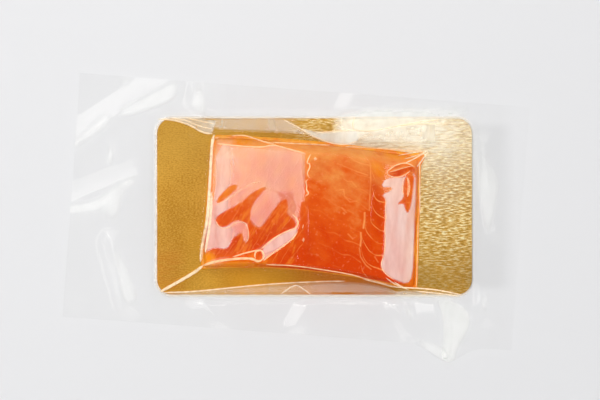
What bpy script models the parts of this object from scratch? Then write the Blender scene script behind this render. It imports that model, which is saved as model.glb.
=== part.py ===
"""A vacuum pack of salted salmon fillet: a gold card board, the fillet on it, and a clear pouch drawn tight
over both.

Metres, +Z up. The origin is on the flat underside of the pouch, under the middle of the board. The board's
length lies along X. The fish ran along X too: its back is at +Y and its belly at -Y.
"""

import math

import bmesh
import bpy
import numpy as np
from mathutils import Matrix, Vector

MM = 0.001

# --- Driving dimensions -----------------------------------------------------------------------------------
FILM = 0.3 * MM  # wall of the pouch
GAP = 0.3 * MM  # kept between pieces that touch

BOARD_LENGTH = 200 * MM
BOARD_WIDTH = 112 * MM
BOARD_THICKNESS = 1.0 * MM
BOARD_CORNER = 9.5 * MM
CORNER_STEPS = 6

POUCH_LENGTH = 286 * MM
POUCH_WIDTH = 155 * MM
POUCH_CENTRE = (-11.7 * MM, -3.4 * MM)  # the board sits off the pouch's middle
POUCH_TURN = math.radians(-4.3)  # and the pouch is a little askew round it
BULGE_REACH = 10 * MM  # the front edge bulges here, where slack film gathers
BULGE_X = 84 * MM
BULGE_SPREAD = 13 * MM
BULGE_FROM = 20 * MM  # the film shifts by nothing at the board, and by all of it this far out

# Corners of the fillet in plan, from the front left one, anticlockwise: where it stands on the board, and the
# upper edge of its sides
FOOT_CORNERS = [(-71 * MM, -39 * MM), (63.5 * MM, -52.5 * MM), (66 * MM, 31 * MM), (-64.5 * MM, 43.5 * MM)]
TOP_CORNERS = [(-67.5 * MM, -35.5 * MM), (61 * MM, -48.5 * MM), (63 * MM, 23 * MM), (-61.5 * MM, 37 * MM)]
SIDE_BOWS = [-5.5 * MM, 0.0, 2 * MM, 0.0]  # how far the front, right, back and left sides bow outwards
CORNER_CUT = 1.5 * MM  # the corners are pulled in by this much, over this reach
CORNER_REACH = 7 * MM

PEAK = 21.5 * MM  # thickness of the fillet
LEFT_SLOPE = 0.15  # it thins towards the left from here
LEFT_SLOPE_X = -4 * MM
CUT_SLOPE = 0.38  # the slanting cut on the right, which gets steeper
CUT_X = 30 * MM
LOW_CUT_SLOPE = 0.64
LOW_CUT_X = 43 * MM
CUT_WANDER = 2.5 * MM  # its upper edge wanders by this much, over this length
CUT_WANDER_LENGTH = 13 * MM
PLANE_BLEND = 1.6 * MM  # how round the planes meet
CROWN = 1.6  # drop from the middle line, in metres for each square metre
CROWN_Y = -3 * MM
LEAST_EDGE = 3 * MM  # the sides are never lower than this

FLAKE_SPACING = 8.5 * MM  # muscle flakes, with a shallow groove between them
FLAKE_DEPTH = 0.5 * MM
FLAKE_SLANT = 0.62  # how far each groove runs along X for a step along Y
FLAKE_FOLD_Y = 10 * MM  # the grooves turn back here
FLAKE_WAVE = 1.5 * MM
FLAKE_WAVE_LENGTH = 7 * MM

FOOT_SPREAD = 2.6 * MM  # the film reaches the board this far out from the fillet
EDGE_CLEARANCE = 0.1 * MM  # and it stands this much further off the board's edge
EDGE_SPREAD = 1.6 * MM  # width over which it comes down past the board's edge

# Stiff wrinkles in the skirt: (start, end, half width, height)
WRINKLES = [
    ((-158 * MM, 36 * MM), (-88 * MM, 82 * MM), 14 * MM, 4.2 * MM),
    ((-150 * MM, 5 * MM), (-112 * MM, 20 * MM), 11 * MM, 2.4 * MM),
    ((-128 * MM, -24 * MM), (-117 * MM, -62 * MM), 11 * MM, 3.2 * MM),
    ((-78 * MM, 78 * MM), (-70 * MM, 58 * MM), 9 * MM, 3.0 * MM),
    ((-72 * MM, -58 * MM), (-60 * MM, -72 * MM), 9 * MM, 1.8 * MM),
    ((0 * MM, -57 * MM), (-12 * MM, -76 * MM), 9 * MM, 2.0 * MM),
    ((50 * MM, -58 * MM), (60 * MM, -80 * MM), 8 * MM, 2.6 * MM),
    ((76 * MM, -60 * MM), (84 * MM, -98 * MM), 13 * MM, 5.0 * MM),
    ((104 * MM, -54 * MM), (110 * MM, -70 * MM), 9 * MM, 2.6 * MM),
    ((108 * MM, 40 * MM), (116 * MM, -16 * MM), 9 * MM, 3.0 * MM),
    ((18 * MM, 58 * MM), (26 * MM, 70 * MM), 9 * MM, 2.0 * MM),
    ((70 * MM, 58 * MM), (80 * MM, 66 * MM), 9 * MM, 1.6 * MM),
]
CORNER_CURL = 0.16  # the back left corner rises past its wrinkle at this slope
PULL_LIFT = 2.4 * MM  # the skirt is pulled up beside the board's long edges, over this reach
PULL_REACH = 12 * MM
PULL_FADE = 40 * MM  # this fades out towards the board's ends
FLAT_MARGIN = 6 * MM  # the wrinkles fade out over this distance from the board

# Pleats of doubled film from the fillet's corners down to the board: (start, end, half width, height at start)
PLEATS = [
    ((-67 * MM, -35 * MM), (-97 * MM, -53.5 * MM), 2.6 * MM, 10.5 * MM),
    ((-61 * MM, 37 * MM), (-84 * MM, 55 * MM), 3.6 * MM, 8.0 * MM),
    ((62 * MM, 24 * MM), (80 * MM, 38 * MM), 3.0 * MM, 5.0 * MM),
    ((60 * MM, -49 * MM), (86 * MM, -55 * MM), 3.0 * MM, 3.2 * MM),
]
PLEAT_END = 0.5 * MM  # height left at a pleat's far end
PLEAT_NARROWING = 0.6  # share of its width that it loses on the way

FILM_CELLS = (26, 16)  # cells of the film's mesh over the fillet, along X and Y
FILLET_CELLS = (46, 30)
SIDE_STEPS = 4  # of the fillet's rounded sides; the film leaves them one step before the foot
SKIRT_CELLS = (34, 19)
EVEN_SHARE = 0.45  # stations along a side are part evenly spaced, part closer at its ends
SHARP_ANGLE = math.radians(40)

# A small way into the pouch, in its underside beneath the board, where none of it shows
VENT_RADIUS = 3 * MM
VENT_PLACE = (55 * MM, 20 * MM)
VENT_SIDES = 12

BOARD_BOTTOM = FILM + GAP
BOARD_TOP = BOARD_BOTTOM + BOARD_THICKNESS
FILLET_BOTTOM = BOARD_TOP + GAP


# --- Outlines: closed rings of stations, which match from one ring to the next -----------------------------
def spread(cells):
    """Fractions along a side from 0 to 1, closer together towards its ends."""
    even = np.linspace(0, 1, cells + 1)
    return EVEN_SHARE * even + (1 - EVEN_SHARE) * (0.5 - 0.5 * np.cos(np.pi * even))


def side_fractions(cells):
    """The fractions of a ring's four sides, from the front one, each without its last."""
    return [spread(cells[side % 2])[:-1] for side in range(4)]


def four_sided(corners, cells):
    """A ring through four corners, with bowed sides, its corners pulled in."""
    corners = np.array(corners)
    ring = []
    for side, fractions in enumerate(side_fractions(cells)):
        start, end = corners[side], corners[(side + 1) % 4]
        along = (end - start) / np.linalg.norm(end - start)
        outward = np.array((along[1], -along[0]))
        for t in fractions:
            ring.append(start + (end - start) * t + outward * SIDE_BOWS[side] * 4 * t * (1 - t))
    ring = np.array(ring)
    inward = corners.mean(0) - corners
    inward /= np.linalg.norm(inward, axis=1)[:, None]
    distance = np.linalg.norm(ring[:, None] - corners[None], axis=2)
    return ring + CORNER_CUT * np.clip(1 - distance / CORNER_REACH, 0, 1) ** 2 @ inward


def grown(ring, by):
    """The ring moved outwards in plan."""
    along = np.roll(ring, -1, 0) - np.roll(ring, 1, 0)
    along /= np.linalg.norm(along, axis=1)[:, None]
    return ring + by * np.column_stack((along[:, 1], -along[:, 0]))


def filled(ring, cells):
    """A grid of points that fills a four-sided ring, as a Coons patch."""
    cells_x, cells_y = cells
    closed = np.vstack((ring, ring[:1]))
    front = closed[: cells_x + 1]
    right = closed[cells_x : cells_x + cells_y + 1]
    back = closed[cells_x + cells_y : 2 * cells_x + cells_y + 1][::-1]
    left = closed[2 * cells_x + cells_y :][::-1]
    u = spread(cells_x)[None, :, None]
    v = spread(cells_y)[:, None, None]
    ruled = (1 - v) * front[None] + v * back[None] + (1 - u) * left[:, None] + u * right[:, None]
    corners = (1 - u) * (1 - v) * front[0] + u * (1 - v) * front[-1] + (1 - u) * v * back[0] + u * v * back[-1]
    return ruled - corners


# --- Heights ----------------------------------------------------------------------------------------------
def soft_least(heights):
    """The least of several heights, rounded off where they meet."""
    heights = np.array(heights)
    low = heights.min(0)
    return low - PLANE_BLEND * np.log(np.exp((low - heights) / PLANE_BLEND).sum(0))


def fillet_height(x, y):
    """Thickness of the fillet without its flakes: a level top that thins to the left, and the cut on the right."""
    wander = CUT_WANDER * np.sin(y / CUT_WANDER_LENGTH)
    left = PEAK + LEFT_SLOPE * (x - LEFT_SLOPE_X)
    level = np.full_like(x, PEAK)
    cut = PEAK - CUT_SLOPE * (x - CUT_X - wander)
    low_cut = PEAK - CUT_SLOPE * (LOW_CUT_X - CUT_X) - LOW_CUT_SLOPE * (x - LOW_CUT_X - wander)
    return np.maximum(soft_least((left, level, cut, low_cut)) - CROWN * (y - CROWN_Y) ** 2, LEAST_EDGE)


def flake_depth(x, y):
    """Depth of the grooves between muscle flakes, which slant and then turn back near the fish's back."""
    bent = FLAKE_SLANT * np.abs(y - FLAKE_FOLD_Y) + FLAKE_WAVE * np.sin(y / FLAKE_WAVE_LENGTH)
    crest = np.abs(np.sin(np.pi * (x + bent) / FLAKE_SPACING))
    return FLAKE_DEPTH * (1 - crest) ** 2


def from_line(x, y, start, end):
    """Distance of points from a line between two others."""
    start, end = np.array(start), np.array(end)
    step = end - start
    along = np.clip(((x - start[0]) * step[0] + (y - start[1]) * step[1]) / (step @ step), 0, 1)
    return np.hypot(x - start[0] - along * step[0], y - start[1] - along * step[1])


def skirt_height(x, y):
    """How far the skirt stands off the table: its wrinkles, the curled corner, and the pull along the board."""
    height = np.zeros_like(x)
    for start, end, half_width, rise in WRINKLES:
        distance = from_line(x, y, start, end)
        height = np.maximum(height, rise * np.clip(1 - distance / half_width, 0, 1))
    start, end = np.array(WRINKLES[0][0]), np.array(WRINKLES[0][1])
    step = (end - start) / np.linalg.norm(end - start)
    beyond = (y - start[1]) * step[0] - (x - start[0]) * step[1]
    height += CORNER_CURL * np.clip(beyond, 0, None)
    off_side = np.clip(np.abs(y) - BOARD_WIDTH / 2, 0, None)
    off_end = np.clip(np.abs(x) - BOARD_LENGTH / 2, 0, None)
    beside = np.clip((BOARD_LENGTH / 2 - np.abs(x)) / PULL_FADE, 0, 1)
    height += PULL_LIFT * beside * (off_side / PULL_REACH) * np.exp(1 - off_side / PULL_REACH)
    return height * np.clip(np.hypot(off_side, off_end) / FLAT_MARGIN, 0, 1)


# --- Surfaces ---------------------------------------------------------------------------------------------
def raised(plan, z):
    """Points of a ring or grid in plan, given their heights."""
    return np.concatenate((plan, np.broadcast_to(z, plan.shape[:-1])[..., None]), -1)


def fillet_top(cells, out):
    """The fillet's upper face as a grid of points, this far out from it."""
    plan = filled(four_sided(TOP_CORNERS, cells), cells)
    return raised(plan, FILLET_BOTTOM + fillet_height(plan[..., 0], plan[..., 1]) + out)


def fillet_sides(cells, out, steps):
    """Rings down the fillet's rounded sides, this far out from it, for this many of their steps."""
    top = four_sided(TOP_CORNERS, cells)
    foot = grown(four_sided(FOOT_CORNERS, cells), out)
    upper = fillet_height(top[:, 0], top[:, 1]) + out
    rings = []
    for step in range(1, steps + 1):
        angle = math.pi / 2 * step / SIDE_STEPS
        rings.append(raised(top + (foot - top) * math.sin(angle), FILLET_BOTTOM + upper * math.cos(angle)))
    return rings


# --- Building ---------------------------------------------------------------------------------------------
def new_piece(name, mesh, collection):
    """An object from a bmesh, which is used up, shaded smooth between its sharp edges."""
    data = bpy.data.meshes.new(name)
    mesh.to_mesh(data)
    mesh.free()
    data.shade_smooth()
    data.set_sharp_from_angle(angle=SHARP_ANGLE)
    piece = bpy.data.objects.new(name, data)
    collection.objects.link(piece)
    return piece


def capped_loft(name, core, rings, collection):
    """A closed mesh: a grid of points on top, rings of stations round it and downwards, and a flat end."""
    rows, columns = core.shape[:2]
    mesh = bmesh.new()
    grid = [[mesh.verts.new(point) for point in row] for row in core]
    for j in range(rows - 1):
        for i in range(columns - 1):
            mesh.faces.new((grid[j][i], grid[j][i + 1], grid[j + 1][i + 1], grid[j + 1][i]))
    right = [row[-1] for row in grid[:-1]]
    left = [row[0] for row in grid[:0:-1]]
    inner = grid[0][:-1] + right + grid[-1][:0:-1] + left
    for ring in rings:
        outer = [mesh.verts.new(point) for point in ring]
        for k in range(len(inner)):
            n = (k + 1) % len(inner)
            mesh.faces.new((inner[k], outer[k], outer[n], inner[n]))
        inner = outer
    mesh.faces.new(inner[::-1])
    return new_piece(name, mesh, collection)


def card(name, collection, out, bottom, top, spread_out=0.0):
    """A flat piece with the board's outline, this far out from it, its underside spread out further."""
    mesh = bmesh.new()
    bmesh.ops.create_cube(mesh, size=1)
    size = (BOARD_LENGTH + 2 * out, BOARD_WIDTH + 2 * out, top - bottom)
    bmesh.ops.scale(mesh, vec=size, verts=mesh.verts)
    bmesh.ops.translate(mesh, vec=(0, 0, (top + bottom) / 2), verts=mesh.verts)
    upright = [edge for edge in mesh.edges if edge.verts[0].co.xy == edge.verts[1].co.xy]
    radius = BOARD_CORNER + out
    bmesh.ops.bevel(mesh, geom=upright, offset=radius, segments=CORNER_STEPS, profile=0.5, affect="EDGES")
    low = [vert for vert in mesh.verts if vert.co.z < (top + bottom) / 2]
    wider = [1 + 2 * spread_out / side for side in size[:2]]
    bmesh.ops.scale(mesh, vec=(*wider, 1), verts=low)
    return new_piece(name, mesh, collection)


def make_fillet(collection):
    """The fillet: its flaky upper face, rounded sides and flat underside."""
    core = fillet_top(FILLET_CELLS, 0)
    within = core[1:-1, 1:-1]
    within[..., 2] -= flake_depth(within[..., 0], within[..., 1])
    rings = fillet_sides(FILLET_CELLS, 0, SIDE_STEPS)
    return capped_loft("fillet", core, rings, collection)


def film_over_fillet(name, collection, out):
    """The form of the film over the fillet, this far out from it, with its foot sunk to the board's middle."""
    rings = fillet_sides(FILM_CELLS, out, SIDE_STEPS - 1)
    foot = grown(four_sided(FOOT_CORNERS, FILM_CELLS), FOOT_SPREAD + out)
    rings.append(raised(foot, (BOARD_BOTTOM + BOARD_TOP) / 2))
    return capped_loft(name, fillet_top(FILM_CELLS, out), rings, collection)


def make_pleat(number, collection):
    """A pleat of doubled film: a ridge that runs down from the fillet to the board."""
    start, end, half_width, rise = PLEATS[number]
    bottom = BOARD_TOP + GAP / 2
    span = math.dist(start, end)
    mesh = bmesh.new()
    bmesh.ops.create_cube(mesh, size=1)
    for vert in mesh.verts:
        along, across, up = vert.co + Vector((0.5, 0, 0.5))
        height = PLEAT_END + GAP + (rise - PLEAT_END) * (1 - along)
        half = half_width * (1 - PLEAT_NARROWING * along)
        vert.co = (along * span, across * 2 * (half if up < 0.5 else FILM), up * height)
    pleat = new_piece(f"pleat_{number}", mesh, collection)
    pleat.location = (*start, bottom)
    pleat.rotation_euler.z = math.atan2(end[1] - start[1], end[0] - start[0])
    return pleat


def make_skirt(collection):
    """Both layers of film together as one sheet, from under the board out to the pouch's edge."""
    mesh = bmesh.new()
    x_cells, y_cells = SKIRT_CELLS
    bmesh.ops.create_grid(mesh, x_segments=x_cells, y_segments=y_cells, size=0.5)
    bmesh.ops.scale(mesh, vec=(POUCH_LENGTH, POUCH_WIDTH, 1), verts=mesh.verts)
    bmesh.ops.rotate(mesh, matrix=Matrix.Rotation(POUCH_TURN, 3, "Z"), verts=mesh.verts)
    bmesh.ops.translate(mesh, vec=(*POUCH_CENTRE, 0), verts=mesh.verts)
    bmesh.ops.triangulate(mesh, faces=mesh.faces)
    for vert in mesh.verts:
        x, y, _ = vert.co
        off_front = np.clip((-y - BOARD_WIDTH / 2) / BULGE_FROM, 0, 1)
        y -= off_front * BULGE_REACH * math.exp(-(((x - BULGE_X) / BULGE_SPREAD) ** 2))
        vert.co = (x, y, skirt_height(x, y))
    sheet = new_piece("pouch", mesh, collection)
    solidify = sheet.modifiers.new("two_layers", "SOLIDIFY")
    solidify.thickness = 2 * FILM
    solidify.offset = 1
    return sheet


def combine(piece, operation, collection):
    """Join a collection of guides to a piece, or cut them out of it."""
    for guide in collection.objects:
        guide.hide_render = True
        guide.display_type = "WIRE"
    boolean = piece.modifiers.new(collection.name, "BOOLEAN")
    boolean.operation = operation
    boolean.operand_type = "COLLECTION"
    boolean.collection = collection
    boolean.solver = "EXACT"


def make_pouch(collection):
    """The pouch: film drawn over the fillet and board, with a skirt where its two layers lie together."""
    pouch = make_skirt(collection)
    outside = new_collection("pouch_outside")
    out = GAP + EDGE_CLEARANCE + FILM
    card("film_over_board", outside, out, FILM / 2, BOARD_TOP + GAP + FILM, EDGE_SPREAD)
    film_over_fillet("film_over_fillet", outside, GAP + FILM)
    for number in range(len(PLEATS)):
        make_pleat(number, outside)
    combine(pouch, "UNION", outside)

    inside = new_collection("pouch_inside")
    card("board_space", inside, GAP + EDGE_CLEARANCE, FILM, BOARD_TOP + GAP, EDGE_SPREAD)
    film_over_fillet("fillet_space", inside, GAP)
    vent = bmesh.new()
    bmesh.ops.create_cone(
        vent, cap_ends=True, segments=VENT_SIDES, radius1=VENT_RADIUS, radius2=VENT_RADIUS, depth=3 * FILM
    )
    new_piece("vent", vent, inside).location = (*VENT_PLACE, 0)
    combine(pouch, "DIFFERENCE", inside)
    return pouch


def material(name, color, roughness, metallic=0.0, alpha=1.0):
    """A Principled material."""
    made = bpy.data.materials.new(name)
    made.use_nodes = True
    shader = made.node_tree.nodes["Principled BSDF"]
    shader.inputs["Base Color"].default_value = (*color, 1)
    shader.inputs["Roughness"].default_value = roughness
    shader.inputs["Metallic"].default_value = metallic
    shader.inputs["Alpha"].default_value = alpha
    return made


def new_collection(name):
    made = bpy.data.collections.new(name)
    bpy.context.scene.collection.children.link(made)
    return made


def main():
    for thing in list(bpy.data.objects):
        bpy.data.objects.remove(thing)
    pack = new_collection("salmon_fillet_pack")
    board = card("board", pack, 0, BOARD_BOTTOM, BOARD_TOP)
    board.data.materials.append(material("gold_card", (0.62, 0.38, 0.09), 0.35, metallic=0.9))
    fillet = make_fillet(pack)
    fillet.data.materials.append(material("salmon", (0.82, 0.13, 0.03), 0.35))
    pouch = make_pouch(pack)
    pouch.data.materials.append(material("clear_film", (0.95, 0.95, 0.95), 0.08, alpha=0.25))


main()
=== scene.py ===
"""A vacuum pack of salted salmon fillet, dressed and lit for a photograph from straight above.

The CAD board keeps its shape and gets its gold foil. A detailed fillet stands for the fillet's solid, and a
creased clear film with pinched folds stands for the pouch's. Plans and heights are worked out in
millimetres in the CAD's frame, and become metres when a mesh is made.
"""

import math

import bpy
import numpy as np
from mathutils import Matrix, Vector


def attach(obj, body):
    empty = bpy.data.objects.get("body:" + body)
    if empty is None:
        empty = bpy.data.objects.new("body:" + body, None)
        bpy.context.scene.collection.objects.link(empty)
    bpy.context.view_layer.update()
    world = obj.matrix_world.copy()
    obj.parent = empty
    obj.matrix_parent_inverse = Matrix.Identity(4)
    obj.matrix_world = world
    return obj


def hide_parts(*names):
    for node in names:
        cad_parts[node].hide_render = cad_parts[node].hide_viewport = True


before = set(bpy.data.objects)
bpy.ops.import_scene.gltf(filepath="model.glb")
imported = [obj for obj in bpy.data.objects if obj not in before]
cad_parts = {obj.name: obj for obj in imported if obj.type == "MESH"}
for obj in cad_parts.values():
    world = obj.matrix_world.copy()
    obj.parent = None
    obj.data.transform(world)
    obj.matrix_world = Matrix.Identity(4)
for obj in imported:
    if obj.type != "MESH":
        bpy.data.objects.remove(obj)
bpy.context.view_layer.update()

MM = 0.001

# --- The photograph: straight down, its outlines given in pixels of its 600 x 400 frame ---
PIXEL = 0.635  # width of a pixel at the board's top
PHOTO_WIDTH = 600
PHOTO_MIDDLE = (300.0, 200.0)
BOARD_MIDDLE = (314.5, 206.5)  # the pixel over the board's middle, which is the origin
CAMERA_HEIGHT = 1200.0
SENSOR = 36.0
TO_MILLIMETRES = np.array((PIXEL, -PIXEL))
VIEW_CENTRE = (np.array(PHOTO_MIDDLE) - BOARD_MIDDLE) * TO_MILLIMETRES

# --- The CAD's forms, in millimetres ---
BOARD_LENGTH, BOARD_WIDTH, BOARD_CORNER = 200.0, 112.0, 9.5
BOARD_TOP = 1.6
POUCH_LENGTH, POUCH_WIDTH = 286.0, 155.0
POUCH_CENTRE = (-11.7, -3.4)
POUCH_TURN = math.radians(-4.3)
# The bulge of the pouch's front edge: how far out, where, how wide, and how far past the board it is full
BULGE_REACH, BULGE_X, BULGE_SPREAD, BULGE_FULL = 10.0, 84.0, 13.0, 20.0

# The fillet's corners at its foot and its top, from the front left on; its sides are front, right, back, left
FOOT_CORNERS = [(-71, -39), (63.5, -52.5), (66, 31), (-64.5, 43.5)]
TOP_CORNERS = [(-67.5, -35.5), (61, -48.5), (63, 23), (-61.5, 37)]
SIDE_BOWS = [-5.5, 0, 2, 0]  # how far each side bows out
CORNER_CUT, CORNER_REACH = 1.5, 7.0  # how far a corner is drawn in, and over what length
CORNER_BLEND = 1.2  # how softly two sides meet
LEAST_FLARE = 0.5  # of a side, from its top out to its foot
FILLET_BOTTOM = 1.9
PEAK = 21.5
LEFT_SLOPE, LEFT_SLOPE_X = 0.15, -4.0  # of the top, and where it starts to fall to the left
CUT_SLOPE, CUT_X = 0.38, 30.0  # of the cut, and where it starts
LOW_CUT_SLOPE, LOW_CUT_X = 0.64, 43.0  # of its steeper lower part
CUT_WANDER, CUT_WANDER_LENGTH = 2.5, 13.0  # how far and how fast those lines wander
PLANE_BLEND = 1.6  # how softly these planes meet
CROWN, CROWN_Y = 0.0016, -3.0  # bend of the top from front to back, and its highest line
LEAST_EDGE = 3.0

# The skirt's wrinkles. Each: its two ends, half width and rise
WRINKLES = [
    ((-158, 36), (-88, 82), 14, 4.2),
    ((-150, 5), (-112, 20), 11, 2.4),
    ((-128, -24), (-117, -62), 11, 3.2),
    ((-78, 78), (-70, 58), 9, 3.0),
    ((-72, -58), (-60, -72), 9, 1.8),
    ((0, -57), (-12, -76), 9, 2.0),
    ((50, -58), (60, -80), 8, 2.6),
    ((76, -60), (84, -98), 13, 5.0),
    ((104, -54), (110, -70), 9, 2.6),
    ((108, 40), (116, -16), 9, 3.0),
    ((18, 58), (26, 70), 9, 2.0),
    ((70, 58), (80, 66), 9, 1.6),
]
CORNER_CURL = 0.16  # slope of the skirt's back left corner, past the first wrinkle
# Where the skirt is pulled up along the board's sides: how high, how far out, and how far in from the ends
PULL_LIFT, PULL_REACH, PULL_FADE = 2.4, 12.0, 40.0
FLAT_MARGIN = 6.0  # round the board, over which the skirt rises to its form

# The ridges of doubled film at the fillet's corners. Each: its top, its far end, half width and rise
PLEATS = [
    ((-67, -35), (-97, -53.5), 2.6, 10.5),
    ((-61, 37), (-84, 55), 3.6, 8.0),
    ((62, 24), (80, 38), 3.0, 5.0),
    ((60, -49), (86, -55), 3.0, 3.2),
]
PLEAT_END = 0.5  # rise of a pleat at its far end
PLEAT_HOLLOW, PLEAT_TAPER = 1.3, 0.55  # how hollow its crest is, and how much it narrows

# --- Film ---
FILM_GAP = 0.35  # from what it lies on
BOTTOM_LIFT, LEAST_TOP = 0.2, 0.45  # heights of the two webs where they lie flattest
GRID = 0.6  # step of the grid on which the film's form is solved
GRID_LOW, GRID_HIGH = (-166.0, -104.0), (143.0, 91.0)
FACET_EDGE = 1.1  # width of a crease round a facet
FACET_HOLD, CREASE_HOLD = 5.0, 0.03  # how firmly a facet and a crease keep their slope, next to 1 elsewhere
BASE_HOLD = 0.002  # pull back to the plain form, for each square millimetre
SOLVE_ROUNDS = 260
TOP_WEB_POINTS, BOTTOM_WEB_POINTS = (428, 232), (190, 104)

TOP_WEB_MIRROR, BOTTOM_WEB_MIRROR = 0.025, 0.01  # share of light that each web mirrors head on
GLANCE_MIRROR = 0.5  # and more of it towards a glance
SKIRT_SHINE, SKIRT_HAZE = 0.6, 0.02  # of the skirt, where the two webs lie together
SHINE_START, HAZE_START = 3.0, 2.0  # how far past the board's edge they are full
SKIRT_GLINT, GLINT_EDGE = 0.08, 2.5  # painted highlights, as haze, on the pale folded places in it, and their soft edge
SHADE = 0.925  # light that film lets through where the painted shadow beside the pack is full
SHADE_START, SHADE_BAND, SHADE_CORNER = 2.0, 15.0, 8.0  # lengths over which it grows, stays and narrows
FILM_SHADE = 0.11  # share of that shade in clear film
# How faint the skirt's right end grows, from where, and over what length
FAINT, FAINT_FROM, FAINT_REACH = 0.8, 112.0, 20.0

# Each softbox: the lean (downhill slope) of film that mirrors its middle to the camera, half its extent in
# lean along and across that direction, and its brightness
SOFTBOXES = {
    "key": ((-0.205, 0.06), (0.085, 0.18), 4.75),
    "right": ((0.66, 0.03), (0.14, 0.3), 3.0),
    "top": ((0.0, 0.30), (0.06, 0.3), 3.6),
    "front": ((0.0, -0.33), (0.08, 0.3), 3.0),
    "fill": ((-0.2, 0.33), (0.08, 0.12), 5.0),
}
# Other leans: the veil over the fillet's left half, the dents in it, the cut face, and flat film
OTHER_LEANS = {"veil": (-0.17, 0.0), "dark": (-0.085, -0.02), "face": (0.4, 0.05), "flat": (0.0, 0.03)}


def on_object(pixels, height):
    """Where points of the photograph lie on the object, at this height."""
    flat = (np.array(pixels, float) - BOARD_MIDDLE) * TO_MILLIMETRES
    return VIEW_CENTRE + (flat - VIEW_CENTRE) * (1 - (height - BOARD_TOP) / CAMERA_HEIGHT)


def lean_towards(name, place):
    """The lean that sends the camera's view of a place to a softbox or, for other names, past them all."""
    lean = SOFTBOXES[name][0] if name in SOFTBOXES else OTHER_LEANS[name]
    askew = (np.array(place) - VIEW_CENTRE) / CAMERA_HEIGHT / 2
    return np.array(lean) - askew


# --- Plan shapes ---
def sides_of(corners):
    """Start, unit direction, length and outward normal of each side of an anticlockwise outline."""
    for number, start in enumerate(corners):
        step = np.subtract(corners[(number + 1) % len(corners)], start)
        length = np.hypot(*step)
        along = step / length
        yield np.array(start, float), along, length, np.array((along[1], -along[0]))


def beyond_sides(x, y, corners):
    """How far points lie beyond each bowed side of the fillet's outline, and each side's outward normal."""
    beyond, normals = [], []
    for (start, along, length, outward), bow in zip(sides_of(corners), SIDE_BOWS):
        t = np.clip(((x - start[0]) * along[0] + (y - start[1]) * along[1]) / length, 0, 1)
        beyond.append((x - start[0]) * outward[0] + (y - start[1]) * outward[1] - bow * 4 * t * (1 - t))
        normals.append(outward)
    return np.array(beyond), np.array(normals)


def soft_most(values, blend):
    """The most of several values, rounded off where they meet, and each one's share in it."""
    high = values.max(0)
    weights = np.exp((values - high) / blend)
    total = weights.sum(0)
    return high + blend * np.log(total), weights / total


def from_line(x, y, start, end):
    """Distance from a line between two points, and how far along it from 0 to 1."""
    step = np.subtract(end, start)
    along = np.clip(((x - start[0]) * step[0] + (y - start[1]) * step[1]) / (step @ step), 0, 1)
    return np.hypot(x - start[0] - along * step[0], y - start[1] - along * step[1]), along


def outside_polygon(x, y, points):
    """Signed distance from a polygon, negative inside."""
    distance = np.full(x.shape, np.inf)
    inside = np.zeros(x.shape, bool)
    for start, end in zip(points, np.roll(points, -1, 0)):
        distance = np.minimum(distance, from_line(x, y, start, end)[0])
        crosses = (start[1] > y) != (end[1] > y)
        slant = (end[0] - start[0]) / (end[1] - start[1] if end[1] != start[1] else 1)
        inside ^= crosses & (x < start[0] + (y - start[1]) * slant)
    return np.where(inside, -distance, distance)


def cut_corners(points, following):
    """Two points on each stretch from a point to the one that follows it."""
    return np.stack((0.75 * points + 0.25 * following, 0.25 * points + 0.75 * following), 1).reshape(-1, 2)


def outside_outline(x, y, pixels, height):
    """Signed distance from an outline of the photograph at this height, with its corners cut off."""
    points = on_object(pixels, height)
    return outside_polygon(x, y, cut_corners(points, np.roll(points, -1, 0)))


def within(x, y, pixels, height, edge):
    """1 inside such an outline and 0 outside it, with an edge this wide."""
    return ease(0.5 - outside_outline(x, y, pixels, height) / edge)


def outside_board(x, y, grow=0.0):
    """Signed distance from the board's outline."""
    across = np.abs(x) - BOARD_LENGTH / 2 - grow + BOARD_CORNER
    down = np.abs(y) - BOARD_WIDTH / 2 - grow + BOARD_CORNER
    inside = np.minimum(np.maximum(across, down), 0)
    return np.hypot(np.maximum(across, 0), np.maximum(down, 0)) + inside - BOARD_CORNER


def ease(t):
    """Smooth step from 0 to 1."""
    t = np.clip(t, 0, 1)
    return t * t * (3 - 2 * t)


# --- Plain forms, as in the CAD ---
def fillet_height(x, y):
    """The fillet's thickness: a level top that thins to the left, and the slanting cut on the right."""
    wander = CUT_WANDER * np.sin(y / CUT_WANDER_LENGTH)
    planes = np.array((
        PEAK + LEFT_SLOPE * (x - LEFT_SLOPE_X),
        np.full_like(x, PEAK),
        PEAK - CUT_SLOPE * (x - CUT_X - wander),
        PEAK - CUT_SLOPE * (LOW_CUT_X - CUT_X) - LOW_CUT_SLOPE * (x - LOW_CUT_X - wander),
    ))
    return np.maximum(-soft_most(-planes, PLANE_BLEND)[0] - CROWN * (y - CROWN_Y) ** 2, LEAST_EDGE)


def over_fillet(x, y, gap):
    """Height of a film this far off the fillet, down its rounded sides."""
    top, shares = soft_most(beyond_sides(x, y, TOP_CORNERS)[0] - gap, CORNER_BLEND)
    foot = soft_most(beyond_sides(x, y, FOOT_CORNERS)[0] - gap, CORNER_BLEND)[0]
    normals = beyond_sides(x, y, TOP_CORNERS)[1]
    back = np.maximum(top, 0)
    edge = fillet_height(x - back * (shares * normals[:, 0, None, None]).sum(0),
                         y - back * (shares * normals[:, 1, None, None]).sum(0))
    down = np.clip(back / np.maximum(top - foot, LEAST_FLARE), 0, 1)
    return np.where(foot < 0, FILLET_BOTTOM + edge * np.sqrt(1 - down**2) + gap, 0)


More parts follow.
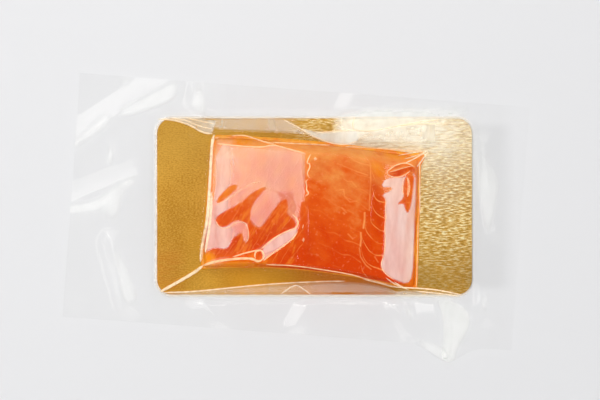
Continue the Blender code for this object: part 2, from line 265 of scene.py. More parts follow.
def skirt_height(x, y):
    """How far the skirt stands off the table."""
    height = np.zeros_like(x)
    for start, end, half_width, rise in WRINKLES:
        height = np.maximum(height, rise * np.clip(1 - from_line(x, y, start, end)[0] / half_width, 0, 1))
    start, end = np.array(WRINKLES[0][0]), np.array(WRINKLES[0][1])
    step = (end - start) / np.linalg.norm(end - start)
    height += CORNER_CURL * np.clip((y - start[1]) * step[0] - (x - start[0]) * step[1], 0, None)
    off_side = np.clip(np.abs(y) - BOARD_WIDTH / 2, 0, None)
    off_end = np.clip(np.abs(x) - BOARD_LENGTH / 2, 0, None)
    beside = np.clip((BOARD_LENGTH / 2 - np.abs(x)) / PULL_FADE, 0, 1)
    height += PULL_LIFT * beside * (off_side / PULL_REACH) * np.exp(1 - off_side / PULL_REACH)
    return height * np.clip(np.hypot(off_side, off_end) / FLAT_MARGIN, 0, 1)


TENT_SLOPE = 0.36  # the film falls at this slope from the fillet's back to the board's back edge
TENT_LOW, TENT_HIGH = 3.0, 6.0  # most height of that tent, left and right
TENT_STEP_X, TENT_STEP = 5.0, 30.0  # where it starts to grow, and over what length
TENT_INSET, TENT_START = 3.0, 2.0  # how far inside the fillet's back side it starts, and over what length
TENT_LEFT, TENT_LEFT_FADE = -84.0, 22.0  # its left end, and the length over which it rises there
TENT_RIGHT, TENT_RIGHT_FADE = 86.0, 26.0  # and the same at its right
FOOT_TENT, FOOT_REACH, FOOT_BLEND = 1.5, 3.4, 2.0  # the film's small tent round the rest of the foot
BOARD_LIFT, SKIRT_LIFT, TENT_LIFT = 0.35, 0.5, 0.3  # of the film over the plain forms
BOARD_WRAP, BOARD_FALL = 0.4, 3.0  # past the board's edge the film is level, and then falls
GAP_REACH = 2.0  # past the board's edge, where the film still keeps its gap from the board
DENT_ROOM = 0.5  # more gap from the fillet, for the dents to use
PLEAT_INSET = 1.0  # from the board's edge, where the pleats end
FORM_BLEND, TOUCH_BLEND = 0.25, 0.05  # how softly the plain forms meet, and the film and the fillet


def back_tent(x, y):
    """The film stretched from the fillet's back side to the board's back edge."""
    most = TENT_LOW + (TENT_HIGH - TENT_LOW) * ease((x - TENT_STEP_X) / TENT_STEP)
    fall = TENT_SLOPE * (BOARD_WIDTH / 2 - y)
    foot = beyond_sides(x, y, FOOT_CORNERS)[0]
    behind = ease((foot[2] + TENT_INSET) / TENT_START)
    ends = np.minimum(ease((x - TENT_LEFT) / TENT_LEFT_FADE), ease((TENT_RIGHT - x) / TENT_RIGHT_FADE))
    return BOARD_TOP + np.clip(np.minimum(most, fall), 0, None) * behind * ends


def foot_tent(x, y):
    """The concave foot where the film leaves the fillet's sides."""
    foot = soft_most(beyond_sides(x, y, FOOT_CORNERS)[0], FOOT_BLEND)[0]
    return BOARD_TOP + FOOT_TENT * np.clip(1 - foot / FOOT_REACH, 0, 1) ** 2


def pleat_height(x, y):
    """The ridges of doubled film at the fillet's corners."""
    height = np.zeros_like(x)
    for start, end, half_width, rise in PLEATS:
        distance, along = from_line(x, y, start, end)
        crest = PLEAT_END + (rise - PLEAT_END) * (1 - along) ** PLEAT_HOLLOW
        width = half_width * (1 - PLEAT_TAPER * along)
        height = np.maximum(height, crest * np.clip(1 - distance / width, 0, 1))
    return BOARD_TOP + height


def plain_film(x, y):
    """The top web's form before its creases."""
    outside = outside_board(x, y)
    board = BOARD_TOP * ease(1 - outside_board(x, y, BOARD_WRAP) / BOARD_FALL) + BOARD_LIFT
    forms = [
        skirt_height(x, y) + SKIRT_LIFT,
        board + FILM_GAP * (outside < GAP_REACH),
        over_fillet(x, y, FILM_GAP + DENT_ROOM),
        foot_tent(x, y),
        back_tent(x, y) + TENT_LIFT,
        pleat_height(x, y) * (outside < -PLEAT_INSET),
    ]
    return soft_most(np.array(forms), FORM_BLEND)[0]


# --- Facets: where the photograph shows the film flat between creases ---
# Outlines that several tables share: the steep strip at the right, the flap at the front, a dent,
# the back and front of the wing that runs on from the eyelet, and the veil's back edge
STRIP = [(386, 177.9), (380, 187.2), (392, 187), (391.5, 190.5), (381, 195), (386, 199), (384.8, 208.2),
         (385.3, 217), (384.5, 235), (384, 255), (379.8, 264), (383.5, 272.5), (394.4, 279.7),
         (407.7, 284.5), (413, 277.3), (414.4, 243), (416.2, 195), (416.2, 173), (409, 175), (402, 177.5)]
FLAP = [(437, 297), (462, 305), (471, 318), (466, 333), (458, 345), (452, 365), (440, 360), (444, 340),
        (443, 318)]
LENS = [(216, 203), (219, 196), (231, 184.5), (238, 184.8), (236.5, 189), (228, 197), (220, 203)]
WING_TOP = [(261.3, 249), (273.8, 238), (286, 231.5), (296.2, 228.2)]
WING_LOW = [(297.8, 230.7), (294.5, 237.3), (282, 247.2), (269.6, 255.5), (263, 261.3)]
VEIL_BACK = [(240, 146), (262, 147.5), (273, 144.5), (285, 148)]

# Each: which way it leans, its height and its outline
FACETS = [
    # Dents in the veil over the fillet's left half, and slack film lying on it
    ("dark", 16, LENS),
    ("dark", 17, [(215, 218.5), (222, 212.5), (238.5, 204.4), (252.5, 192.4), (262, 187.2), (267.5, 187.5),
     (259, 195.7), (252.3, 205), (250, 216), (252, 224), (245, 223), (238.4, 219.8), (233, 221.7),
     (224.3, 227.7), (217.8, 225.5)]),
    ("dark", 18, [(248.5, 219), (253.6, 225), (259, 228), (264.4, 223.9), (275.3, 207.6), (281.8, 200),
     (287.5, 198.5), (288, 208), (287.2, 214.1), (293, 218), (297.3, 226), (289.4, 229.2), (270.9, 239.3),
     (257, 250), (238.4, 254.6), (216.7, 258.5), (205, 262), (203, 258.5), (206, 252), (214.5, 247.7),
     (226.5, 249.4), (230.8, 243.4), (232.4, 238.5), (238.4, 234.7), (242.7, 232.6), (243, 240.5),
     (247, 243), (248.6, 236), (247, 228)]),
    ("veil", 20, [(273, 222), (277, 216), (283, 215), (288, 222), (282, 226)]),
    ("veil", 21, WING_TOP + WING_LOW),
    ("dark", 22, [(300, 204), (306, 200), (308, 208), (308, 262), (297, 262), (298.5, 232), (300.5, 222)]),
    ("dark", 18, [(206, 263), (222, 260), (238, 256.5), (252, 252), (260, 250.5), (263, 256), (260, 261),
     (250, 258.8), (236, 259.5), (215, 262.5)]),
    ("veil", 18, [(219, 146), (262, 149), (273, 147), (285, 149), (304.8, 153), (305, 153.2), (305, 176),
     (304.8, 198), (299.5, 206), (298.5, 225), (294, 218), (289, 212), (289.5, 198), (282, 195), (272, 186),
     (262, 184.5), (252, 188), (243, 186), (238, 181), (228, 183), (218, 193)]),
    ("veil", 10, [(211, 214), (216, 214), (216, 236), (213, 247), (204, 252), (206, 232)]),
    # The steep strip at the right, the flesh beside it, its dent, and the folded loop above it
    ("face", 15, [(373, 190), (380, 190), (384.5, 199), (383.3, 208), (383.8, 217), (382.8, 235),
     (382.3, 255), (378, 264), (380, 270), (371, 266), (370, 225)]),
    ("right", 12, STRIP),
    ("face", 11, [(405.5, 175), (415, 172.5), (413.5, 190), (411.5, 205), (408, 214), (405, 209),
     (404, 203.5), (396.5, 204.5), (404, 197.5), (402.5, 190)]),
    ("face", 14, [(386.5, 172.5), (393, 166.5), (401, 163.5), (408, 163), (415, 167), (411, 170),
     (405, 174.5), (398, 177), (391, 176.5)]),
    # The film between the fillet's back and the board's back edge
    ("top", 4, [(172, 119.5), (215, 120.5), (283, 119.5), (300, 128), (313, 137), (297, 133.5), (262, 131.5),
     (215, 130.5), (205, 133.5), (192, 127)]),
    ("flat", 5, [(285, 119), (333.5, 119), (335.5, 132), (328, 134), (314, 137), (299, 127)]),
    ("top", 6, [(314, 137), (328, 134), (346, 131), (357, 133), (350, 143.5), (338, 144.5)]),
    ("top", 5, [(335.5, 119), (424, 119), (430, 128), (424, 144), (417, 146), (385, 143), (352, 141),
     (358, 133), (347, 131), (337, 131.5)]),
    # The film between the fillet's front and the board's front edge
    ("front", 2, [(168, 292.5), (240, 287.5), (295, 284), (345, 281), (372, 284), (395, 290), (395, 294.5),
     (168, 294.5)]),
    ("front", 2, [(397, 289.5), (440, 293), (462, 295), (397, 295)]),
    # The skirt: the back left corner, the left end, the right end and the front
    ("fill", 3, [(68, 147), (84, 133), (98, 119), (104, 113), (112, 117), (108, 126), (92, 137), (74, 149)]),
    ("fill", 3, [(117, 113), (128, 104), (150, 93), (170, 82), (178, 84), (176, 98), (160, 106), (140, 113),
     (125, 117)]),
    ("fill", 3, [(118, 80), (130, 79), (132, 84), (122, 86)]),
    ("fill", 2, [(192, 96), (200, 84), (205, 100), (207, 118), (198, 112), (190, 108)]),
    ("fill", 2, [(108, 145), (114, 148), (112, 166), (108, 160)]),
    ("fill", 2, [(132, 176), (137, 182), (121, 192), (119, 216), (108, 221), (104, 206), (100, 212),
     (66, 214), (64, 205), (97, 200), (108, 190), (118, 182)]),
    ("fill", 2, [(114, 247), (120, 252), (139, 298), (132, 304), (122, 300)]),
    ("fill", 2, [(478, 152), (486, 158), (499, 180), (497, 200), (490, 232), (484, 225), (480, 190)]),
    ("fill", 2, [(399, 295), (404, 298), (414, 319), (409, 320)]),
    ("fill", 3, FLAP),
    ("fill", 2, [(417, 340), (430, 342), (448, 350), (446, 362), (428, 352)]),
    ("fill", 2, [(480, 296), (489, 295), (486, 311), (483, 308)]),
    ("fill", 2, [(322, 300), (355, 301), (375, 304), (350, 306)]),
]

# Pinched folds of film, whitish with painted highlight. Each: half width, whiteness of that highlight, height
# and the line it follows
FOLDS = [
    # From the board's front left corner over the fillet, with the eyelet at its end
    (0.95, 0.75, 6, [(160, 292), (180, 281), (195, 272), (203.3, 265.5)]),
    (0.8, 0.85, 17, [(202, 266), (215.7, 261.3), (236.5, 258.6), (252, 258.2), (257, 261.5), (262, 260.5)]),
    (0.55, 0.85, 19, [(259, 261.5), (263, 259), (264, 255), (261.5, 250), (256, 251), (254.5, 255),
     (255.5, 259)]),
    (0.45, 0.8, 18, [(232, 257.2), (248, 252.2), (261, 249.6)]),
    # Round the wing that runs on from it
    (0.4, 0.75, 20, [*WING_TOP, (298.5, 224), (297, 219), (292, 214)]),
    (0.4, 0.75, 20, WING_LOW),
    # Round the dents
    (0.25, 0.5, 17, [(216, 205), (228, 199), (241, 190), (252, 183), (262, 182)]),
    (0.25, 0.6, 17, [(215, 220), (219, 227.5), (226, 229), (235, 223.5), (243, 221), (248, 227), (249, 238),
     (245, 243)]),
    # Along the fillet's foot and edges
    (0.95, 0.85, 3, [(214.3, 134.5), (212.6, 142), (210.6, 184), (208.6, 214.5), (206.6, 228),
     (202.2, 246.4), (200.6, 262)]),
    (0.8, 0.6, 8, [(212, 192), (211.5, 212), (209.8, 228), (207.8, 240), (205.5, 252)]),
    (0.3, 0.55, 3, [(419.2, 161), (420, 185), (420, 214)]),
    (0.3, 0.45, 9.5, [(418.4, 222), (418.2, 250), (417, 288)]),
    (0.35, 0.6, 20, [(266, 264.7), (294.5, 265.5), (325, 270), (350, 274), (371.4, 280.8), (389.3, 285.7)]),
    (0.4, 0.85, 16, [(217, 143.5), *VEIL_BACK, (305, 153.5)]),
    (0.45, 0.8, 10, [(231, 135.5), (245, 135), (255, 138.5), (264, 142), (275, 144.5)]),
    (0.35, 0.75, 10, [(272, 142.5), (300, 144), (330, 145.2)]),
    (0.4, 0.85, 12, [(345, 146.5), (372, 147.5), (400, 150), (426, 151.5)]),
    # Over the board behind the fillet
    (0.55, 0.5, 3, [(158, 119), (175, 120), (190, 125), (203, 133), (213, 134)]),
    (0.4, 0.4, 3, [(170, 118), (186, 120), (198, 126), (212, 129)]),
    (0.4, 0.4, 3, [(184, 117), (200, 121), (214, 124)]),
    (0.45, 0.5, 5, [(283, 119.5), (300, 128.3), (313.4, 136.8), (333, 143.9), (347.3, 144.6), (357, 141)]),
    (0.4, 0.4, 5, [(316, 133), (335.7, 131.4), (352, 130), (371, 131.5), (392, 127), (415, 122.5),
     (440, 119.5)]),
    (0.35, 0.5, 4, [(398, 126), (420, 123.5), (452, 124)]),
    (0.4, 0.6, 3, [(355, 117), (352.5, 123), (353.5, 130)]),
    # At the fillet's back right corner, and the loop in front of it
    (0.45, 0.5, 6, [(429, 150.5), (423, 159), (417, 167)]),
    (0.4, 0.5, 8, [(428, 151), (412, 160), (404, 163.5)]),
    (0.3, 0.4, 8, [(427, 150.5), (414, 152.5), (398, 155.5)]),
    (0.3, 0.4, 8, [(427, 151), (416, 156), (404, 159)]),
    (0.35, 0.85, 14, [(387, 174), (386.5, 172), (393, 166.5), (401, 163.3), (408, 162.8), (415.5, 167)]),
    (0.25, 0.7, 14, [(388.5, 172.5), (397, 170), (406, 167), (413, 166)]),
    (0.3, 0.7, 13, [(387, 173.5), (391, 176.8), (398, 177.4), (405, 175), (411, 170.5)]),
    (0.28, 0.6, 12, [(381, 195), (386, 199.5), (384.6, 208), (385.6, 217), (384.2, 226), (385, 238),
     (384, 255), (380, 264), (384, 273), (394.4, 280)]),
    (0.9, 0.4, 12, [(407.5, 177), (409.3, 184), (409, 190), (407.8, 197)]),
    (0.28, 0.6, 13, [(404, 177), (402.3, 190), (404, 197)]),
    # Over the board in front of the fillet
    (0.4, 0.75, 2, [(164, 292.5), (195, 291.6), (236.5, 287), (278, 283.3), (325, 281.2), (345, 281)]),
    (0.45, 0.8, 3, [(362.5, 278.6), (380.4, 283), (393.8, 287), (417, 288), (440, 290.2), (462, 295)]),
    (0.35, 0.7, 2, [(416, 291), (440, 293.5), (458, 296)]),
    (0.45, 0.7, 4, [(393.8, 281.3), (400.9, 286.6), (407.1, 288.4)]),
    (0.35, 0.6, 4, [(385, 277), (396, 285), (409, 290)]),
    (0.35, 0.6, 2, [(281, 294), (290, 287.5), (297, 284.5), (303, 289), (311, 294.5)]),
    # Small painted highlights along the fillet's middle line, as whitish threads and specks
    (0.4, 0.85, 22, [(311, 154), (309, 157), (306.5, 164), (309.5, 163), (310, 168), (306.5, 173),
     (309.4, 178)]),
    (0.4, 0.85, 22, [(308.5, 179), (305.3, 181.3), (307, 186), (306, 190), (309.4, 193.5), (304.5, 196.3)]),
    (1.1, 0.7, 22, [(313.5, 158.5), (315, 158.8), (317, 159.2)]),
    (0.5, 0.3, 22, [(303.5, 224), (302.5, 229)]),
    (0.9, 0.3, 22, [(303.8, 237.5), (303.2, 242)]),
]
FOLD_STEP, FOLD_SIDES = 0.7, 8  # step along a fold, and sides of its section
FOLD_FLATNESS, FOLD_LIFT = 0.75, 0.6  # its height, and its middle's height over the film, for its width
FOLD_TAPER, FOLD_TIP = 3.5, 0.1  # how far from its end a fold thins out, and to what share of its width
FOLD_WAVER, FOLD_WAVER_RATE = 0.08, 1.3  # share of its width by which it varies, and how fast
FILLET_LEVEL = 9  # folds above this height lie over the fillet

RIM_OUT, RIM_HALF_WIDTH, RIM_WHITENESS = 0.6, 0.6, 0.5  # the painted highlight, a pale line where the film leaves the board
RIM_CORE = 0.25  # share of its half width that is as pale as that
RIM_FADE = 3.0  # before the board's right end, over which it goes

# Painted reflections of the softboxes, as milky places where the film stands off what it covers. Each:
# amount, soft edge, height and outline
PAINTED_REFLECTIONS = [
    # Over the fillet: the left veil, whiter at its left, and the right strip
    (0.18, 1.0, 19, [(216, 144), *VEIL_BACK, (305, 153), (305, 154), (304.5, 198), (298.5, 205), (298, 226),
     (294.5, 237), (268, 254), (257, 249.5), (238, 254), (205, 256), (205, 250), (209, 205), (216, 190)]),
    (0.3, 11.0, 17, [(215, 142), (234, 142), (226, 200), (236, 240), (220, 262), (208, 262), (213, 205)]),
    (0.3, 1.0, 21, WING_TOP + WING_LOW),
    (0.5, 1.0, 12, STRIP),
    # The flap at the front, then over the board, and down the fillet's left side
    (0.15, 3.0, 3, FLAP),
    (0.27, 2.0, 4, [(205, 117), (283, 117), (297, 126), (308, 135), (290, 132), (250, 130.5), (214, 129)]),
    (0.35, 1.5, 4, [(160, 118), (175, 120), (190, 125), (203, 133), (214, 134), (214, 117)]),
    (0.6, 2.0, 6, [(300, 128), (318, 132.5), (346, 130.5), (360, 131), (356, 144.5), (336, 144.5),
     (313, 137)]),
    (0.28, 8.0, 5, [(339, 112), (438, 112), (442, 130), (434, 146), (417, 144), (385, 141.5), (352, 140),
     (338, 131)]),
    (0.3, 8.0, 4, [(343, 110), (470, 108), (452, 119), (415, 122.5), (392, 127), (371, 131.5), (343, 130)]),
    (0.12, 30.0, 3, [(422, 140), (478, 128), (478, 200), (422, 215)]),
    (0.2, 1.5, 2, [(166, 293), (236, 287.5), (295, 283.5), (345, 281.5), (372, 284), (395, 290), (395, 297),
     (166, 297)]),
    (0.3, 1.5, 2, [(395, 290), (440, 292), (464, 296), (395, 298)]),
    (0.15, 2.0, 9, [(209.5, 190), (214, 205), (215, 215), (215, 236), (213, 247), (203, 252), (206.5, 226)]),
]
CLEAR_LEANS = ("dark", "face")  # facets that lie on the fillet, with no air under them
CLEAR_SHINE = 0.2  # and so mirror less
PLEAT_SHINE, SIDE_SHINE = 0.15, 0.4  # as do the pleats and the fillet's steep sides
PLEAT_REACH, SIDE_REACH = 2.0, 3.0  # to this many half widths from a pleat, and this far past the foot


def rim_highlight_marks(x, y):
    """How much painted highlight, as a pale line, the film has where it leaves the board, except at the right
    end.
    """
    right_end = ease((x - BOARD_LENGTH / 2 + RIM_FADE) / RIM_FADE)
    off_rim = np.abs(outside_board(x, y) - RIM_OUT) / RIM_HALF_WIDTH
    return RIM_WHITENESS * (1 - right_end) * ease(1 + RIM_CORE - off_rim)


def faint_end(x):
    """How plainly the skirt shows: less towards the pouch's right end."""
    return 1 - FAINT * ease((x - FAINT_FROM) / FAINT_REACH)


def haze_and_reflection_marks(x, y):
    """How milky the film is: a little haze, and painted reflections and painted highlights as milky places.
    """
    clear = 1 - SKIRT_HAZE * ease(outside_board(x, y) / HAZE_START) * faint_end(x)
    for amount, edge, level, pixels in PAINTED_REFLECTIONS:
        clear *= 1 - amount * within(x, y, pixels, level, edge)
    for name, level, pixels in FACETS:
        if name in CLEAR_LEANS:
            clear += (1 - clear) * within(x, y, pixels, level, FACET_EDGE)
        # painted highlights, as haze, on the skirt's pale folded places
        if name == "fill":
            clear *= 1 - SKIRT_GLINT * within(x, y, pixels, level, GLINT_EDGE)
    return 1 - clear


def shine_marks(x, y):
    """How much of its full mirror share the film keeps: less on the flesh, the pleats and the skirt."""
    shine = 1 - (1 - SKIRT_SHINE) * ease(outside_board(x, y) / SHINE_START)
    for name, level, pixels in FACETS:
        if name in CLEAR_LEANS:
            shine *= 1 - (1 - CLEAR_SHINE) * within(x, y, pixels, level, FACET_EDGE)
    beyond_top = soft_most(beyond_sides(x, y, TOP_CORNERS)[0], CORNER_BLEND)[0]
    beyond_foot = soft_most(beyond_sides(x, y, FOOT_CORNERS)[0], CORNER_BLEND)[0]
    shine *= 1 - (1 - SIDE_SHINE) * ease(beyond_top) * ease(SIDE_REACH - beyond_foot)
    for start, end, half_width, _ in PLEATS:
        shine *= 1 - (1 - PLEAT_SHINE) * ease(PLEAT_REACH - from_line(x, y, start, end)[0] / half_width)
    return shine * faint_end(x)


def shade_marks(x, y):
    """How much the film darkens what it covers: a little all over, and more to the right as a painted shadow,
    since the film casts no shadow.
    """
    past = x - BOARD_LENGTH / 2
    band = ease(past / SHADE_START) * ease(2 - past / SHADE_BAND)
    band *= ease((BOARD_WIDTH / 2 - np.abs(y)) / SHADE_CORNER)
    return np.maximum(band, FILM_SHADE * faint_end(x))


def solve_film(x, y, base):
    """The surface whose slopes follow the plain form's, and each facet's inside it, with creases between."""
    slope_y, slope_x = np.gradient(base, GRID)
    hold = np.ones_like(base)
    for name, level, pixels in FACETS:
        lean = lean_towards(name, on_object(pixels, level).mean(0))
        outside = outside_outline(x, y, pixels, level)
        inside = ease(0.5 - outside / FACET_EDGE)
        hold = np.where(outside < 0, FACET_HOLD, hold)
        slope_x += inside * (-lean[0] - slope_x)
        slope_y += inside * (-lean[1] - slope_y)
        hold = np.minimum(hold, np.where(np.abs(outside) < FACET_EDGE, CREASE_HOLD, 1))
    hold_x = (hold[:, 1:] + hold[:, :-1]) / 2
    hold_y = (hold[1:] + hold[:-1]) / 2
    want_x = (slope_x[:, 1:] + slope_x[:, :-1]) / 2
    want_y = (slope_y[1:] + slope_y[:-1]) / 2

    def pulled(flow_x, flow_y):
        out = np.zeros_like(base)
        out[:, 1:] += flow_x
        out[:, :-1] -= flow_x
        out[1:] += flow_y
        out[:-1] -= flow_y
        return out / GRID

    def applied(z):
        return pulled(hold_x * np.diff(z, axis=1) / GRID, hold_y * np.diff(z, axis=0) / GRID) + BASE_HOLD * z

    weight = np.full_like(base, BASE_HOLD)
    weight[:, 1:] += hold_x / GRID**2
    weight[:, :-1] += hold_x / GRID**2
    weight[1:] += hold_y / GRID**2
    weight[:-1] += hold_y / GRID**2
    z = base.copy()
    rest = pulled(hold_x * want_x, hold_y * want_y) + BASE_HOLD * base - applied(z)
    way = rest / weight
    strength = (rest * way).sum()
    for _ in range(SOLVE_ROUNDS):
        push = applied(way)
        step = strength / (way * push).sum()
        z += step * way
        rest -= step * push
        eased = rest / weight
        strength, before = (rest * eased).sum(), strength
        way = eased + strength / before * way
    return z


# --- Meshes ---
def new_piece(name, points, faces, material):
    """A smooth mesh from points in millimetres."""
    data = bpy.data.meshes.new(name)
    data.from_pydata((np.asarray(points) * MM).tolist(), [], faces)
    data.update()
    data.shade_smooth()
    data.materials.append(material)
    piece = bpy.data.objects.new(name, data)
    bpy.context.scene.collection.objects.link(piece)
    return piece


def mark(piece, name, values):
    """Gives each point of a piece a number that its material reads."""
    attribute = piece.data.attributes.new(name, "FLOAT", "POINT")
    attribute.data.foreach_set("value", np.ravel(values).astype(np.float32))


def grid_faces(rows, columns, first=0):
    """The quads of a grid of points."""
    corner = first + np.arange(rows - 1)[:, None] * columns + np.arange(columns - 1)
    return np.stack((corner, corner + 1, corner + columns + 1, corner + columns), -1).reshape(-1, 4).tolist()


def ring_faces(near, far):
    """The quads between closed rings of point numbers."""
    corners = (near, far, np.roll(far, -1, -1), np.roll(near, -1, -1))
    return np.stack(corners, -1).reshape(-1, 4).tolist()


def bilinear(field, x, y):
    """A field of the solving grid, read at other places."""
    u = np.clip((x - GRID_LOW[0]) / GRID, 0, field.shape[1] - 1.001)
    v = np.clip((y - GRID_LOW[1]) / GRID, 0, field.shape[0] - 1.001)
    i, j = u.astype(int), v.astype(int)
    s, t = u - i, v - j
    return ((field[j, i] * (1 - s) + field[j, i + 1] * s) * (1 - t)
            + (field[j + 1, i] * (1 - s) + field[j + 1, i + 1] * s) * t)


def pouch_plan(columns, rows):
    """A grid over the pouch's outline, turned as the pouch is, with its front edge's bulge."""
    across = (np.linspace(0, 1, columns) - 0.5) * POUCH_LENGTH
    down = (np.linspace(0, 1, rows) - 0.5) * POUCH_WIDTH
    u, v = np.meshgrid(across, down)
    cos, sin = math.cos(POUCH_TURN), math.sin(POUCH_TURN)
    x = POUCH_CENTRE[0] + u * cos - v * sin
    y = POUCH_CENTRE[1] + u * sin + v * cos
    out = np.clip((-y - BOARD_WIDTH / 2) / BULGE_FULL, 0, 1)
    y -= BULGE_REACH * out * np.exp(-(((x - BULGE_X) / BULGE_SPREAD) ** 2))
    return x, y


# --- Materials ---
X, Y = 0, 1  # axes of the plan
STRAND_TURN = math.radians(62)  # of the flesh's amber strands on the left

# Colours, linear
PAPER, SHADED_PAPER = (0.725, 0.725, 0.735), (0.708, 0.708, 0.718)
# The film's gloss; its milk, which carries painted reflections; and its rim's painted highlight
GLOSS, MILK_AND_REFLECTION, RIM_HIGHLIGHT = (1, 0.978, 0.93), (0.8, 0.815, 0.75), (0.95, 0.8, 0.6)
# Cream of the folds, which is painted highlight, and warmer over the fillet
FOLD_CREAM_HIGHLIGHT, FOLD_WARM_HIGHLIGHT = (0.97, 0.78, 0.53), (0.97, 0.62, 0.33)
PLAIN_GOLD = (0.39, 0.175, 0.016), (0.64, 0.35, 0.055)
# Embossed foil, whose pale crests are painted glints
EMBOSSED_GOLD_AND_GLINTS = (0.42, 0.22, 0.035), (0.66, 0.39, 0.09), (0.95, 0.85, 0.5)
# Painted reflections on the foil: the sheet of light at the back, and the fish in front of it
PAINTED_GLOW, AMBER_GLINT, RED_GLINT = (1.0, 0.91, 0.72), (0.73, 0.31, 0.015), (0.66, 0.13, 0.01)
# Painted shade and painted light on the foil, and its ruddy streaks
SHADED_GOLD, LIT_GOLD, RUDDY_GOLD = (0.38, 0.22, 0.04), (0.85, 0.47, 0.06), (0.5, 0.17, 0.02)
FLESH = (0.64, 0.052, 0.002), (0.71, 0.098, 0.007), (0.8, 0.3, 0.07)
# Amber flesh, and deep red painted shade
AMBER_FLESH, SHADED_FLESH = (0.86, 0.27, 0.006), (0.57, 0.04, 0.002)
FLAKE_LINE, FAT_STRING = (0.88, 0.29, 0.065), (0.88, 0.33, 0.09)
STRAND, SPECKLE = (0.83, 0.24, 0.02), (0.88, 0.3, 0.13)
SOAKED_FLESH = (0.62, 0.13, 0.004), (0.8, 0.32, 0.02)
BRINE = (0.78, 0.2, 0.008), (0.85, 0.36, 0.02)


class Paint:
    """A node material being put together."""

    def __init__(self, name):
        self.material = bpy.data.materials.new(name)
        self.material.use_nodes = True
        self.tree = self.material.node_tree
        self.tree.nodes.clear()

    def add(self, kind, inputs, output=0, **settings):
        """A new node's output; inputs are numbers, colours or other nodes' outputs."""
        node = self.tree.nodes.new("ShaderNode" + kind)
        for setting, value in settings.items():
            setattr(node, setting, value)
        for key, value in inputs.items():
            socket = node.inputs[key]
            if isinstance(value, bpy.types.NodeSocket):
                self.tree.links.new(value, socket)
            else:
                socket.default_value = (*value, 1) if socket.type == "RGBA" else value
        return node.outputs[output]

    def math(self, operation, *values):
        """A number worked out from others."""
        return self.add("Math", dict(enumerate(values)), operation=operation)

    def product(self, total, *factors):
        """All of them multiplied."""
        for factor in factors:
            total = self.math("MULTIPLY", total, factor)
        return total

    def linear(self, value, scale, offset):
        """The value times a scale, plus an offset."""
        return self.math("MULTIPLY_ADD", value, scale, offset)

    def span(self, value, low, high):
        """A smooth step from 0 at low to 1 at high."""
        return self.add("MapRange", {0: value, 1: low, 2: high}, interpolation_type="SMOOTHSTEP")

    def place(self, axis):
        """The piece's own coordinate along an axis, in metres."""
        return self.add("SeparateXYZ", {0: self.add("TexCoord", {}, "Object")}, axis)

    def patch(self, *spans):
        """A soft-edged area of the plan: the product of smooth steps, each an axis, its low and its high."""
        return self.product(*[self.span(self.place(axis), low, high) for axis, low, high in spans])

    def noise(self, scale, detail=2.0, stretch=(1, 1), roughness=0.5, turn=0.0):
        """Noise over the piece's coordinates, turned and then stretched; scale is features to a metre."""
        turned = self.add("Mapping", {0: self.add("TexCoord", {}, "Object"), 2: (0, 0, -turn)})
        stretched = self.add("Mapping", {0: turned, 3: (*stretch, 1)})
        kinds = {"Vector": stretched, "Scale": scale, "Detail": detail, "Roughness": roughness}
        return self.add("TexNoise", kinds)

    def attribute(self, name):
        """A number that a piece's points carry."""
        return self.add("Attribute", {}, "Fac", attribute_name=name)

    def ramp(self, factor, places, colours):
        """Colours at places from 0 to 1, running into each other."""
        output = self.add("ValToRGB", {0: factor})
        elements = output.node.color_ramp.elements
        for number, (place, colour) in enumerate(zip(places, colours)):
            element = elements[number] if number < 2 else elements.new(place)
            element.position = place
            element.color = (*colour, 1)
        return output

    def blend(self, share, first, second):
        """One colour, with a share of another."""
        return self.add("Mix", {0: share, 6: first, 7: second}, 2, data_type="RGBA")

    def bump(self, height, distance, strength=1.0):
        """The surface's normal, bent by a height that is this many metres at 1."""
        return self.add("Bump", {"Height": height, "Distance": distance, "Strength": strength})

    def mix(self, share, first, second):
        """One shader, with a share of another."""
        return self.add("MixShader", {0: share, 1: first, 2: second})

    def finish(self, shader):
        """The material, once its surface has this shader."""
        self.tree.links.new(shader, self.tree.nodes.new("ShaderNodeOutputMaterial").inputs[0])
        return self.material


def film_material(name, mirror):
    """Clear film: it mirrors more at a glance, and its points say how glossy it is, how much painted shadow
    darkens what it covers, how milky it is with painted reflections, and how much painted highlight its rim
    has.
    """
    paint = Paint(name)
    shine = paint.attribute("shine")
    glance = paint.math("POWER", paint.add("LayerWeight", {"Blend": 0.5}, "Facing"), 5.0)
    gloss = paint.add("BsdfGlossy", {
        "Color": GLOSS, "Roughness": paint.linear(shine, -0.25, 0.31),
        "Normal": paint.bump(paint.noise(120), 0.00007),
    })
    clear = paint.add("BsdfTransparent", {
        "Color": paint.blend(paint.attribute("shade"), (1, 1, 1), (SHADE, SHADE, SHADE)),
    })
    body = paint.mix(paint.product(paint.linear(glance, GLANCE_MIRROR, mirror), shine), clear, gloss)
    cloud = paint.linear(paint.noise(150, 4, stretch=(1, 0.3)), 1.2, 0.4)
    haze = paint.product(paint.attribute("haze"), cloud)
    # milky haze, which carries the painted reflections and highlights
    body = paint.mix(haze, body, paint.add("BsdfDiffuse", {"Color": MILK_AND_REFLECTION}))
    return paint.finish(paint.mix(paint.attribute("rim"), body, paint.add("BsdfDiffuse", {"Color": RIM_HIGHLIGHT})))


def fold_material():
    """Doubled film whose cream is a painted highlight, warmer over the fillet, and see-through where a fold
    is slight.
    """
    paint = Paint("film_fold")
    broken = paint.linear(paint.span(paint.noise(260), 0.3, 0.6), 0.4, 0.6)
    cream = paint.add("BsdfPrincipled", {
        "Base Color": paint.blend(paint.attribute("warm"), FOLD_CREAM_HIGHLIGHT, FOLD_WARM_HIGHLIGHT),
        "Roughness": 0.3, "Specular IOR Level": 0.25,
    })
    share = paint.product(paint.attribute("white"), broken)
    return paint.finish(paint.mix(share, paint.add("BsdfTransparent", {}), cream))


